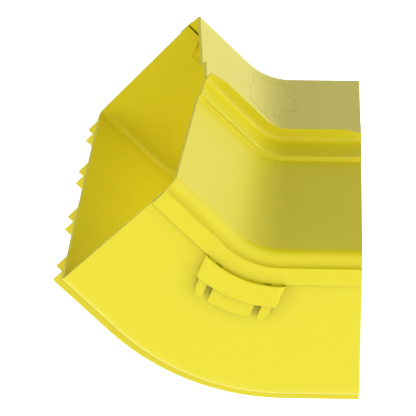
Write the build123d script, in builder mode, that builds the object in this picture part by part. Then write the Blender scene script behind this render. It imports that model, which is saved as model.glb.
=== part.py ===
"""Inside-vertical 45 degree elbow for a wide fibre raceway, with a split lift-off cover.

The level leg's mouth is at x = 0. The duct runs from there towards -X, then bends upwards. Y runs across the
duct and Z is up. The origin is the middle of the floor's end edge at the level mouth. Heights are measured from
the underside of the floor, and square to it on the bend and the rising leg.
"""
from build123d import *

import os
from math import cos, radians, sin, sqrt

# Run of the duct, with the radius left inside the bend at the top of the lip
BEND_ANGLE = 45
INSIDE_RADIUS = 18.2
LEG = 48.5

# Channel section: upright rims on leaning walls
RIM_WIDTH = 306
WALL = 2.5
WALL_HEIGHT = 90.4
WALL_LEAN = 8.5
RIM_UPRIGHT = 10
FLOOR_CORNER = 6.5
LEAN_CORNER = 6

# Catch pockets inside each wall, near both mouths: a ramp cut into the wall below its rim
POCKET_INSET = 12.3
POCKET_BELOW_RIM = 2
POCKET_WIDTH = 14
POCKET_DROP = 12.8
POCKET_DEPTH = 2

# Rails under the floor, in pairs, the outer pairs set in from the floor's edges
RAIL_PAIRS = 4
RAIL_INSET = 27.05
RAIL_SPACING = 20.9
RAIL_DEPTH = 9
RAIL_THICKNESS = 2

# Cover section: skirt outside the rim, ledge on the rim, crowned panel, raised strip in the middle
SKIRT_CLEARANCE = 0.4
SKIRT_DROP = 8.4
SEAT_GAP = 0.2
CORNER_INSET = 0.85
CORNER_RISE = 9
PANEL_RISE = 10.9
STRIP_HALF_WIDTH = 30.9
STRIP_STEP = 3
STEP_RUN = 0.6
SEAM_OFFSET = 5.8
SEAM_GAP = 0.4
LEDGE_EDGE = 0.6
COVER_CORNER = 6.5
STEP_CORNER = 1

# Standing lip on the near half's inner edge, lower at both ends
LIP_HEIGHT = 8.4
LIP_END_HEIGHT = 5.5
LIP_RAMP = 12
LIP_FOOT = 3.5

# Latch at the middle of the bend: three fingers on the cover behind a strap on the wall
FINGER_DROP = 24.7
MIDDLE_FINGER = 27.4
OUTER_FINGER = 5.8
FINGER_SLOT = 4.5
FINGER_CLEARANCE = 0.5
LEAD_IN_DEPTH = 4.5
LEAD_IN_WIDTH = 2
STRAP_HEIGHT = 13.7
STRAP_GAP = 0.5
STRAP_THICKNESS = 2.5
STRAP_POST = 1.7
STRAP_ROOT = 0.5
STRAP_END_RADIUS = 2.2

# Heights and places across the duct
floor_z = -WALL / 2
rim_y = RIM_WIDTH / 2
floor_y = rim_y - WALL_LEAN
lean_top = WALL_HEIGHT - RIM_UPRIGHT
rail_pitch = 2 * (floor_y - RAIL_INSET) / (RAIL_PAIRS - 1)
skirt_inner_y = rim_y + SKIRT_CLEARANCE
skirt_outer_y = skirt_inner_y + WALL
skirt_low = WALL_HEIGHT - SKIRT_DROP
ledge_height = WALL_HEIGHT + SEAT_GAP + WALL
crease_y = rim_y + SKIRT_CLEARANCE / 2
corner_y = rim_y - CORNER_INSET
corner_height = ledge_height + CORNER_RISE
panel_slope = PANEL_RISE / (corner_y - STRIP_HALF_WIDTH)
step_foot_height = corner_height + PANEL_RISE
step_top_height = step_foot_height + STRIP_STEP
step_top_y = STRIP_HALF_WIDTH - STEP_RUN
lip_near_y = SEAM_OFFSET + SEAM_GAP / 2 + WALL
lip_foot_height = step_top_height + panel_slope * (step_top_y - lip_near_y)
far_edge_y = SEAM_OFFSET - SEAM_GAP / 2

# Directions and planes of the run
bend_radius = lip_foot_height + LIP_HEIGHT + INSIDE_RADIUS
full_angle = radians(BEND_ANGLE)
half_angle = full_angle / 2
bend_centre = Vector(-LEG, 0, floor_z + bend_radius)
bend_axis = Axis(bend_centre, (0, 1, 0))
level_out = Vector(1, 0, 0)
level_up = Vector(0, 0, 1)
level_mouth = Vector(0, 0, floor_z)
rising_out = Vector(-cos(full_angle), 0, sin(full_angle))
rising_up = Vector(sin(full_angle), 0, cos(full_angle))
rising_mouth = bend_centre - rising_up * bend_radius + rising_out * LEG
# Square to the way the covers lift, in the plane of the bend
lift_tangent = Vector(cos(half_angle), 0, -sin(half_angle))
# Where the level leg meets the bend: local x across the duct, local y up from the underside
section_plane = Plane(origin=(-LEG, 0, floor_z), x_dir=(0, 1, 0), z_dir=level_out)
# At each mouth: local x back along the leg, local y up from the underside
level_side = Plane(origin=level_mouth, x_dir=-level_out, z_dir=(0, 1, 0))
rising_side = Plane(origin=rising_mouth, x_dir=-rising_out, z_dir=(0, -1, 0))
# At the bend's centre: local y along the way the covers lift, normal towards the near wall
latch_plane = Plane(origin=bend_centre, x_dir=lift_tangent, z_dir=(0, -1, 0))

# Latch outline on the latch plane, shared by the strap and the fingers
finger_root_radius = bend_radius - skirt_low - WALL
finger_tip_radius = bend_radius - skirt_low + FINGER_DROP
outer_finger_x = MIDDLE_FINGER / 2 + FINGER_SLOT + OUTER_FINGER / 2
fingers_half = outer_finger_x + OUTER_FINGER / 2
slot_half = fingers_half + FINGER_CLEARANCE
strap_half = slot_half + STRAP_POST
strap_top_radius = bend_radius - skirt_low + STRAP_GAP
strap_low_radius = strap_top_radius + STRAP_HEIGHT
strap_root_y = rim_y - WALL + STRAP_ROOT
strap_back_y = skirt_outer_y + SKIRT_CLEARANCE
strap_front_y = strap_back_y + STRAP_THICKNESS


def sweep_run(section):
    """Carry a cross-section along the level leg, round the bend and up the rising leg."""
    extrude(section, amount=LEG, dir=level_out)
    revolve(section, axis=bend_axis, revolution_arc=BEND_ANGLE)
    extrude(section.rotate(bend_axis, BEND_ANGLE), amount=LEG, dir=rising_out)


# Strap on the near wall: a curved band on two posts, with the fingers' slot behind it
with BuildPart() as near_strap:
    with BuildSketch(latch_plane.offset(strap_root_y)):
        with Locations((0, -strap_low_radius)):
            Rectangle(2 * strap_half, 2 * strap_low_radius)
        Circle(strap_low_radius, mode=Mode.INTERSECT)
        Circle(strap_top_radius, mode=Mode.SUBTRACT)
    extrude(amount=strap_front_y - strap_root_y)
    fillet(near_strap.edges().group_by(Axis.Y)[0].filter_by(GeomType.LINE), radius=STRAP_END_RADIUS)
    with BuildSketch(latch_plane.offset(strap_root_y)):
        with Locations((0, -strap_low_radius)):
            Rectangle(2 * slot_half, 2 * strap_low_radius)
    extrude(amount=strap_back_y - strap_root_y, mode=Mode.SUBTRACT)

# Pockets in the far wall, each a wedge drawn along the way the covers lift and run back along its leg
with BuildPart() as far_pockets:
    for mouth, out, up in ((level_mouth, level_out, level_up), (rising_mouth, rising_out, rising_up)):
        corner = mouth - out * POCKET_INSET + up * (WALL_HEIGHT - POCKET_BELOW_RIM)
        with BuildSketch(Plane(origin=corner, x_dir=(0, 1, 0), z_dir=lift_tangent)):
            with BuildLine():
                Polyline(
                    (rim_y - WALL + POCKET_DEPTH, 0),
                    (rim_y - WALL - WALL_LEAN, 0),
                    (rim_y - WALL - WALL_LEAN, -POCKET_DROP),
                    (rim_y - WALL, -POCKET_DROP),
                    close=True,
                )
            make_face()
        extrude(amount=POCKET_WIDTH, dir=-out)

# Channel: floor, walls and rails as one section, with a strap on each wall
with BuildPart() as channel_base:
    with BuildSketch(section_plane) as channel_section:
        with BuildLine():
            FilletPolyline(
                (-rim_y, WALL_HEIGHT),
                (-rim_y, lean_top),
                (-floor_y, 0),
                (floor_y, 0),
                (rim_y, lean_top),
                (rim_y, WALL_HEIGHT),
                radius=[LEAN_CORNER, FLOOR_CORNER, FLOOR_CORNER, LEAN_CORNER],
            )
            offset(amount=WALL, side=Side.LEFT)
        make_face()
        with Locations((0, (WALL / 2 - RAIL_DEPTH) / 2)):
            with GridLocations(rail_pitch, 0, RAIL_PAIRS, 1):
                with GridLocations(RAIL_SPACING, 0, 2, 1):
                    Rectangle(RAIL_THICKNESS, RAIL_DEPTH + WALL / 2)
    sweep_run(channel_section.sketch)
    add(near_strap.part)
    mirror(near_strap.part, about=Plane.XZ)
    add(far_pockets.part, mode=Mode.SUBTRACT)
    mirror(far_pockets.part, about=Plane.XZ, mode=Mode.SUBTRACT)


def cover_half(edge_y, lip_height):
    """Half a cover on the near wall, from its skirt to an inner edge at edge_y, as one bent sheet.

    A lip stands on that edge where lip_height isn't zero. Latch fingers hang from the skirt at the bend.
    """
    edge_height = step_top_height + panel_slope * (step_top_y + edge_y)
    sheet = [
        (-skirt_outer_y, skirt_low),
        (-skirt_outer_y, ledge_height),
        (-crease_y, ledge_height),
        (-corner_y, corner_height),
        (-STRIP_HALF_WIDTH, step_foot_height),
        (-step_top_y, step_top_height),
        (edge_y, edge_height),
    ]
    corners = [LEDGE_EDGE, LEDGE_EDGE, COVER_CORNER, STEP_CORNER, STEP_CORNER]
    if lip_height:
        sheet.append((edge_y, edge_height + lip_height))
        corners.append(LIP_FOOT)

    with BuildPart() as half:
        with BuildSketch(section_plane) as sheet_section:
            with BuildLine():
                FilletPolyline(*sheet, radius=corners)
                offset(amount=WALL, side=Side.RIGHT)
            make_face()
        sweep_run(sheet_section.sketch)

        # Three fingers, the outer two with a lead-in at their outer corners
        tip_corner_x = fingers_half - LEAD_IN_WIDTH
        tip_corner_y = -sqrt(finger_tip_radius**2 - tip_corner_x**2)
        with BuildSketch(latch_plane.offset(skirt_inner_y)):
            with Locations((0, -finger_tip_radius)):
                Rectangle(MIDDLE_FINGER, 2 * finger_tip_radius)
            with Locations((-outer_finger_x, -finger_tip_radius), (outer_finger_x, -finger_tip_radius)):
                Rectangle(OUTER_FINGER, 2 * finger_tip_radius)
            Circle(finger_tip_radius, mode=Mode.INTERSECT)
            Circle(finger_root_radius, mode=Mode.SUBTRACT)
            for side in (-1, 1):
                with BuildLine():
                    Polyline(
                        (side * fingers_half, tip_corner_y + LEAD_IN_DEPTH),
                        (side * tip_corner_x, tip_corner_y),
                        (side * fingers_half, tip_corner_y),
                        close=True,
                    )
                make_face(mode=Mode.SUBTRACT)
        extrude(amount=WALL)

        # Lip cut down in a ramp at both mouths
        if lip_height:
            lip_top = edge_height + lip_height
            for side_plane in (level_side, rising_side):
                with BuildSketch(side_plane):
                    with BuildLine():
                        Polyline(
                            (0, edge_height + LIP_END_HEIGHT),
                            (LIP_RAMP, lip_top),
                            (LIP_RAMP, lip_top + WALL),
                            (0, lip_top + WALL),
                            close=True,
                        )
                    make_face()
                extrude(amount=rim_y, both=True, mode=Mode.SUBTRACT)
    return half.part


near_half = cover_half(-lip_near_y, LIP_HEIGHT)
far_half = cover_half(far_edge_y, 0)

with BuildPart() as near_cover:
    add(near_half)

with BuildPart() as far_cover:
    mirror(far_half, about=Plane.XZ)

os.makedirs("parts", exist_ok=True)
for name, piece in (("channel_base", channel_base), ("near_cover", near_cover), ("far_cover", far_cover)):
    piece.part.label = name
    export_step(piece.part, f"parts/{name}.step")
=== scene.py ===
import math

import bmesh
import bpy
from mathutils import Matrix, Vector


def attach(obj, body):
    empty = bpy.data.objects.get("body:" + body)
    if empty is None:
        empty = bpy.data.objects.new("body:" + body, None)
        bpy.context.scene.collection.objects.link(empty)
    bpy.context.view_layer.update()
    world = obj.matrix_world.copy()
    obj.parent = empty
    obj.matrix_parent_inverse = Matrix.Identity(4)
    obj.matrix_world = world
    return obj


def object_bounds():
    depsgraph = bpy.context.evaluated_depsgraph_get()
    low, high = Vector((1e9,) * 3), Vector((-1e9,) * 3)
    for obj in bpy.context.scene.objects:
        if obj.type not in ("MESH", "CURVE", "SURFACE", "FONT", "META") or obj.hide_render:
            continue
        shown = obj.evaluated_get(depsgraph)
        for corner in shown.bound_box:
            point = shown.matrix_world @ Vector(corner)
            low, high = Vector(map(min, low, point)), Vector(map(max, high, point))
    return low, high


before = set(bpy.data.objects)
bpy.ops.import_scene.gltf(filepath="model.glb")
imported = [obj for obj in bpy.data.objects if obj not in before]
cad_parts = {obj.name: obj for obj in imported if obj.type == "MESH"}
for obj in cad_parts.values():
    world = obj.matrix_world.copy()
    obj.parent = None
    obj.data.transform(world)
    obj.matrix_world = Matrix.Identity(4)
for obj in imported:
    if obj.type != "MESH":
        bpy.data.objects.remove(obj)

cad_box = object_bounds()


# Channel: one moulding with leaning walls, a bent floor, a strap on each wall and pairs of rails underneath.
# It is injection moulded in solid yellow plastic, satin all over, with a fine even grain from the tool.
PLASTIC_YELLOW = (0.82, 0.715, 0.0115)
PLASTIC_IOR = 1.5
PLASTIC_SPECULAR = 0.5
FLOW_SCALE = 9.0
FLOW_DETAIL = 3.0
FLOW_ROUGHNESS = 0.5
FLOW_LOW = 0.3
FLOW_HIGH = 0.7
# Painted shade: ambient occlusion darkens the base colour in corners, under overhangs and beside other
# pieces, within this reach and down to the darkest share of the colour
PAINTED_SHADE_REACH = 0.020
PAINTED_SHADE_SAMPLES = 8
PAINTED_SHADE_SHUT_IN = 0.3
PAINTED_SHADE_DARKEST = 0.68
OUTER_SIDE_FROM = 0.131
OUTER_SIDE_FULL = 0.139
GRAIN_SCALE = 2200.0
GRAIN_DETAIL = 2.0
GRAIN_GLOSS_SWING = 0.05
GRAIN_STRENGTH = 0.12
GRAIN_DEPTH = 0.00008


def reckon(tree, operation, *terms):
    """Output of a new Math node: each term is a number or the output of another node."""
    sum_node = tree.nodes.new("ShaderNodeMath")
    sum_node.operation = operation
    for socket, term in zip(sum_node.inputs, terms):
        if isinstance(term, bpy.types.NodeSocket):
            tree.links.new(term, socket)
        else:
            socket.default_value = term
    return sum_node.outputs[0]


def moulded_yellow(name, roughness, drift, inner_painted_shade):
    """Satin yellow plastic: the colour drifts a little over the part, painted shade darkens it in corners
    and beside other pieces, and fine grain breaks up the gloss.
    """
    material = bpy.data.materials.new(name)
    material.use_nodes = True
    tree = material.node_tree
    nodes = tree.nodes
    links = tree.links
    plastic = nodes["Principled BSDF"]
    plastic.inputs["IOR"].default_value = PLASTIC_IOR
    plastic.inputs["Specular IOR Level"].default_value = PLASTIC_SPECULAR

    place = nodes.new("ShaderNodeTexCoord")
    flow = nodes.new("ShaderNodeTexNoise")
    flow.inputs["Scale"].default_value = FLOW_SCALE
    flow.inputs["Detail"].default_value = FLOW_DETAIL
    flow.inputs["Roughness"].default_value = FLOW_ROUGHNESS
    links.new(place.outputs["Object"], flow.inputs["Vector"])
    shade = nodes.new("ShaderNodeValToRGB")
    darker, lighter = shade.color_ramp.elements
    darker.position = FLOW_LOW
    darker.color = [c * (1.0 - drift) for c in PLASTIC_YELLOW] + [1.0]
    lighter.position = FLOW_HIGH
    lighter.color = [c * (1.0 + drift) for c in PLASTIC_YELLOW] + [1.0]
    links.new(flow.outputs["Fac"], shade.inputs["Fac"])

    # Painted shade: ambient occlusion darkens the base colour in corners, in full on the outer sides and
    # beside another piece. Elsewhere the piece's own corners count by the inner share that the caller gives,
    # and the rest of them is divided out
    spot = nodes.new("ShaderNodeSeparateXYZ")
    links.new(place.outputs["Object"], spot.inputs[0])
    facing_way = nodes.new("ShaderNodeSeparateXYZ")
    links.new(place.outputs["Normal"], facing_way.inputs[0])
    outward = reckon(tree, "MULTIPLY", spot.outputs["Y"], facing_way.outputs["Y"])
    left_out = nodes.new("ShaderNodeMapRange")
    left_out.inputs["From Min"].default_value = OUTER_SIDE_FROM
    left_out.inputs["From Max"].default_value = OUTER_SIDE_FULL
    left_out.inputs["To Min"].default_value = 1.0 - inner_painted_shade
    left_out.inputs["To Max"].default_value = 0.0
    links.new(outward, left_out.inputs["Value"])
    own_corner_shade = nodes.new("ShaderNodeAmbientOcclusion")
    own_corner_shade.only_local = True
    any_corner_shade = nodes.new("ShaderNodeAmbientOcclusion")
    for corner in (own_corner_shade, any_corner_shade):
        corner.samples = PAINTED_SHADE_SAMPLES
        corner.inputs["Distance"].default_value = PAINTED_SHADE_REACH
    own_left_out = reckon(tree, "POWER", own_corner_shade.outputs["AO"], left_out.outputs["Result"])
    shut_in = reckon(tree, "DIVIDE", any_corner_shade.outputs["AO"], own_left_out)
    # Painted shade: the more shut in a spot is, the darker its colour is painted, down to the darkest share
    corner_painted_shade = nodes.new("ShaderNodeMapRange")
    corner_painted_shade.inputs["From Min"].default_value = PAINTED_SHADE_SHUT_IN
    corner_painted_shade.inputs["To Min"].default_value = PAINTED_SHADE_DARKEST
    links.new(shut_in, corner_painted_shade.inputs["Value"])
    # The painted shade scales the drifting colour before it becomes the base colour
    shaded_base_colour = nodes.new("ShaderNodeVectorMath")
    shaded_base_colour.operation = "SCALE"
    links.new(shade.outputs["Color"], shaded_base_colour.inputs[0])
    links.new(corner_painted_shade.outputs["Result"], shaded_base_colour.inputs["Scale"])
    links.new(shaded_base_colour.outputs["Vector"], plastic.inputs["Base Color"])

    grain = nodes.new("ShaderNodeTexNoise")
    grain.inputs["Scale"].default_value = GRAIN_SCALE
    grain.inputs["Detail"].default_value = GRAIN_DETAIL
    links.new(place.outputs["Object"], grain.inputs["Vector"])
    gloss = nodes.new("ShaderNodeMapRange")
    gloss.inputs["To Min"].default_value = roughness - GRAIN_GLOSS_SWING
    gloss.inputs["To Max"].default_value = roughness + GRAIN_GLOSS_SWING
    links.new(grain.outputs["Fac"], gloss.inputs["Value"])
    links.new(gloss.outputs["Result"], plastic.inputs["Roughness"])
    texture = nodes.new("ShaderNodeBump")
    texture.inputs["Strength"].default_value = GRAIN_STRENGTH
    texture.inputs["Distance"].default_value = GRAIN_DEPTH
    links.new(grain.outputs["Fac"], texture.inputs["Height"])
    links.new(texture.outputs["Normal"], plastic.inputs["Normal"])
    return material


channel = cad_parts["channel_base"]
# The channel's own inner corners take 0.45 of the painted corner shade
channel_yellow = moulded_yellow("channel_yellow", roughness=0.43, drift=0.012, inner_painted_shade=0.45)
channel.data.materials.clear()
channel.data.materials.append(channel_yellow)

# Cover halves: two bent mouldings that snap over the walls and meet beside the standing lip.
# They are the same yellow plastic from another tool, so they are satin too and a touch smoother.
for half in ("near_cover", "far_cover"):
    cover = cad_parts[half]
    # The covers take painted corner shade only on their outer sides and beside other pieces
    cover_yellow = moulded_yellow(half + "_yellow", roughness=0.41, drift=0.010, inner_painted_shade=0.0)
    cover.data.materials.clear()
    cover.data.materials.append(cover_yellow)

# Pull mark: the plain outline of a hand on the far half, where the cover is taken hold of and lifted off.
# It is moulded with the cover, as a fine raised line about half a millimetre wide, and it follows the plate
# round the bend.
MARK_HALF_WIDTH = 0.00028
MARK_SUNK = 0.00012
MARK_STEP = 0.0015
MARK_ROUNDING = 2
MARK_RADIUS = 0.036
BEND_MIDDLE = Vector((-0.0485, 0.0, 0.14331))
BEND_TURN = math.radians(45)
PLATE_EDGE_ACROSS = 0.15215
PLATE_EDGE_RADIUS = 0.04246
PLATE_SLOPE = 0.0899
MILLIMETRES_IN_METRE = 1000.0
# Each stroke in millimetres: along the run from the start of the bend, and across the duct from its middle
mark_strokes = (
    (
        (26.0, 104.5), (25.0, 131.5), (2.5, 131.5), (2.3, 107.0), (1.3, 103.5),
        (-4.3, 96.5), (-5.4, 64.5), (-1.2, 66.0), (3.5, 71.5),
    ),
    ((4.6, 88.0), (4.3, 50.0), (5.8, 45.5), (10.6, 54.5), (11.1, 73.0)),
    ((10.6, 54.5), (10.9, 43.5), (12.4, 39.5), (14.8, 39.5), (16.4, 43.5), (17.3, 72.0)),
    ((16.6, 48.0), (19.9, 47.3), (24.2, 52.0), (23.4, 77.0)),
    ((24.1, 57.0), (27.0, 55.0), (31.0, 59.0), (29.1, 98.5), (26.0, 104.5)),
)


def on_far_plate(run, across):
    """Point on the far half's plate: on the level leg, round the bend, or on the rising leg after it."""
    radius = PLATE_EDGE_RADIUS - PLATE_SLOPE * (PLATE_EDGE_ACROSS - across) + MARK_SUNK
    turn = min(max(run / MARK_RADIUS, 0.0), BEND_TURN)
    straight = run - turn * MARK_RADIUS
    out = Vector((-math.sin(turn), 0.0, -math.cos(turn)))
    ahead = Vector((-math.cos(turn), 0.0, math.sin(turn)))
    return BEND_MIDDLE + out * radius + ahead * straight + Vector((0.0, across, 0.0))


mark_lines = bpy.data.curves.new("pull_mark_lines", "CURVE")
mark_lines.dimensions = "3D"
mark_lines.bevel_depth = MARK_HALF_WIDTH
mark_lines.bevel_resolution = MARK_ROUNDING
mark_lines.use_fill_caps = True
for stroke in mark_strokes:
    corners = [Vector(corner) / MILLIMETRES_IN_METRE for corner in stroke]
    trail = [corners[0]]
    for start, end in zip(corners, corners[1:]):
        steps = math.ceil((end - start).length / MARK_STEP)
        trail += [start.lerp(end, step / steps) for step in range(1, steps + 1)]
    line = mark_lines.splines.new("POLY")
    line.points.add(len(trail) - 1)
    for point, (run, across) in zip(line.points, trail):
        point.co = (*on_far_plate(run, across), 1.0)
mark_draft = bpy.data.objects.new("pull_mark_draft", mark_lines)
bpy.context.scene.collection.objects.link(mark_draft)
finished_draft = mark_draft.evaluated_get(bpy.context.evaluated_depsgraph_get())
mark_mesh = bpy.data.meshes.new_from_object(finished_draft)
bpy.data.objects.remove(mark_draft)
bpy.data.curves.remove(mark_lines)
for face in mark_mesh.polygons:
    face.use_smooth = True
# The pull mark takes painted corner shade only beside other pieces
mark_yellow = moulded_yellow("pull_mark_yellow", roughness=0.41, drift=0.010, inner_painted_shade=0.0)
mark_mesh.materials.append(mark_yellow)
pull_mark = bpy.data.objects.new("pull_mark", mark_mesh)
bpy.context.scene.collection.objects.link(pull_mark)
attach(pull_mark, "far_half")

# Studio: a white light table below the part, and a dim room with wide soft light panels all round it.
# The panels are painted into the world, each bright in its middle and fading out, and white to the camera.
TABLE_DROP = 0.40
TABLE_HALF = 2.5
TABLE_GREY = (0.85, 0.85, 0.85, 1)
TABLE_GLOW_ON_PART = 0.55
TABLE_GLOW_SEEN = 1.05
STUDIO_WHITE = (1, 1, 1, 1)
floor_mesh = bpy.data.meshes.new("light_table")
floor_form = bmesh.new()
bmesh.ops.create_grid(floor_form, x_segments=1, y_segments=1, size=TABLE_HALF)
bmesh.ops.translate(floor_form, verts=floor_form.verts, vec=(0, 0, cad_box[0][2] - TABLE_DROP))
floor_form.to_mesh(floor_mesh)
floor_form.free()
floor = bpy.data.objects.new("light_table", floor_mesh)
bpy.context.scene.collection.objects.link(floor)
table_white = bpy.data.materials.new("table_white")
table_white.use_nodes = True
table_tree = table_white.node_tree
table_nodes = table_tree.nodes
table_links = table_tree.links
table_nodes.remove(table_nodes["Principled BSDF"])
matt = table_nodes.new("ShaderNodeBsdfDiffuse")
matt.inputs["Color"].default_value = TABLE_GREY
table_rays = table_nodes.new("ShaderNodeLightPath")
table_seen = table_rays.outputs["Is Camera Ray"]
for ray in ("Is Glossy Ray", "Is Transmission Ray"):
    table_seen = reckon(table_tree, "MAXIMUM", table_seen, table_rays.outputs[ray])
table_level = table_nodes.new("ShaderNodeMapRange")
table_level.inputs["To Min"].default_value = TABLE_GLOW_ON_PART
table_level.inputs["To Max"].default_value = TABLE_GLOW_SEEN
table_links.new(table_seen, table_level.inputs["Value"])
glow = table_nodes.new("ShaderNodeEmission")
glow.inputs["Color"].default_value = STUDIO_WHITE
table_links.new(table_level.outputs["Result"], glow.inputs["Strength"])
matt_and_glow = table_nodes.new("ShaderNodeAddShader")
table_links.new(matt.outputs[0], matt_and_glow.inputs[0])
table_links.new(glow.outputs[0], matt_and_glow.inputs[1])
table_links.new(matt_and_glow.outputs[0], table_nodes["Material Output"].inputs["Surface"])
floor_mesh.materials.append(table_white)

world = bpy.data.worlds.new("studio_panels")
bpy.context.scene.world = world
world.use_nodes = True
room_tree = world.node_tree
room_nodes = room_tree.nodes
room_links = room_tree.links
room_way = room_nodes.new("ShaderNodeTexCoord")
# Each panel: degrees to the right of the front, degrees up, how fast it fades out, and brightness
panels = (
    (0, 28, 8.0, 0.34),
    (30, 5, 8.0, 0.80),
    (30, 28, 8.0, 0.92),
    (90, 5, 8.0, 4.25),
    (150, 0, 24.0, 1.50),
    (180, 12, 8.0, 0.90),
    (-90, 28, 8.0, 0.60),
    (-60, 28, 8.0, 0.70),
    (-60, 5, 8.0, 2.12),
)
room_light = 0.0
for degrees_right, degrees_up, fading, level in panels:
    turn_right = math.radians(degrees_right)
    rise = math.radians(degrees_up)
    facing = room_nodes.new("ShaderNodeVectorMath")
    facing.operation = "DOT_PRODUCT"
    facing.inputs[1].default_value = (
        math.sin(turn_right) * math.cos(rise),
        -math.cos(turn_right) * math.cos(rise),
        math.sin(rise),
    )
    room_links.new(room_way.outputs["Generated"], facing.inputs[0])
    towards = reckon(room_tree, "MAXIMUM", facing.outputs["Value"], 0.0)
    faded = reckon(room_tree, "POWER", towards, fading)
    room_light = reckon(room_tree, "MULTIPLY_ADD", faded, level, room_light)
room_rays = room_nodes.new("ShaderNodeLightPath")
room_white = room_nodes.new("ShaderNodeMix")
room_white.data_type = "RGBA"
room_white.inputs["B"].default_value = STUDIO_WHITE
room_links.new(room_rays.outputs["Is Camera Ray"], room_white.inputs["Factor"])
room_links.new(room_light, room_white.inputs["A"])
room_links.new(room_white.outputs["Result"], room_nodes["Background"].inputs["Color"])

# Camera: a long lens in front of the near wall, looking down a little, as the photograph was framed.
# Its focal length is fitted in pixels of the square picture, and its turn by the picture's right and down.
SENSOR_WIDTH = 36.0
PICTURE_WIDTH = 416.0
FOCAL_PIXELS = 2698.9
CLIP_END = 60.0
CAMERA_PLACE = (-0.02452, -1.65017, 0.76794)
PICTURE_RIGHT = (0.99898, 0.04501, -0.00264)
PICTURE_DOWN = (0.01521, -0.39151, -0.92005)
camera_data = bpy.data.cameras.new("front_camera")
camera_data.sensor_width = SENSOR_WIDTH
camera_data.lens = SENSOR_WIDTH * FOCAL_PIXELS / PICTURE_WIDTH
camera_data.clip_end = CLIP_END
camera = bpy.data.objects.new("front_camera", camera_data)
right = Vector(PICTURE_RIGHT).normalized()
down = Vector(PICTURE_DOWN).normalized()
back = right.cross(-down).normalized()
camera_turn = Matrix((right, -down, back)).transposed()
camera.matrix_world = Matrix.Translation(CAMERA_PLACE) @ camera_turn.to_4x4()
bpy.context.scene.collection.objects.link(camera)
bpy.context.scene.camera = camera

bpy.context.scene.view_settings.view_transform = "Standard"
